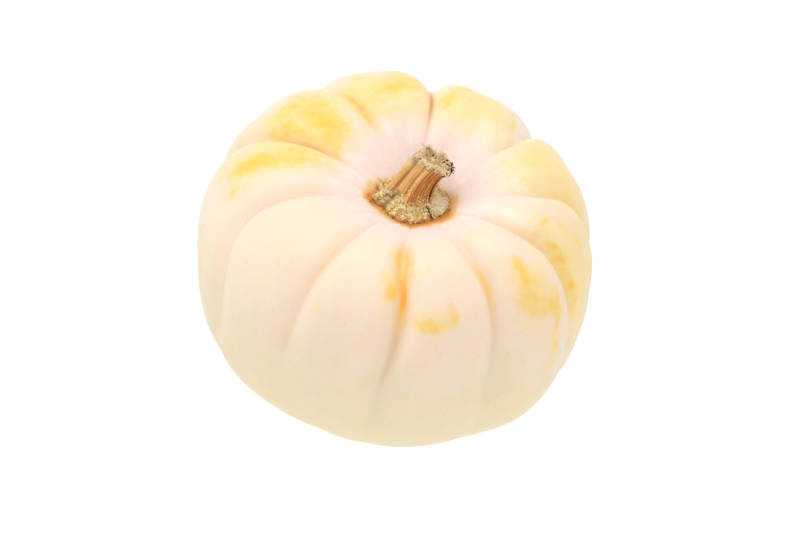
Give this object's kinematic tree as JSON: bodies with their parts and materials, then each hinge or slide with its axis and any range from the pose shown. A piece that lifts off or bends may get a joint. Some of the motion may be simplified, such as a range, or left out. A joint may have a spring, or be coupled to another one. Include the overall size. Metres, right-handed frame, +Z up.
{
  "type": "mini pumpkin",
  "caption": "Small cream-white ribbed pumpkin with yellow blush, a deep dimple round its dry ridged stem and a flattened underside that it rests on.",
  "frame": {"origin": "on the surface that the pumpkin rests on, under the middle of its bounding box", "axes": "+Z up, -Y towards the side that the picture shows, +X to the right of that view"},
  "size_m": [0.0886, 0.0908, 0.064],
  "materials": {
    "skin": "smooth, slightly waxy cream skin with yellow blush",
    "dry_stem": "dry, ridged and corky, with a sandy crust at the base"
  },
  "bodies": {
    "root": {"pumpkin_body": "skin", "stem": "dry_stem"}
  },
  "joints": []
}
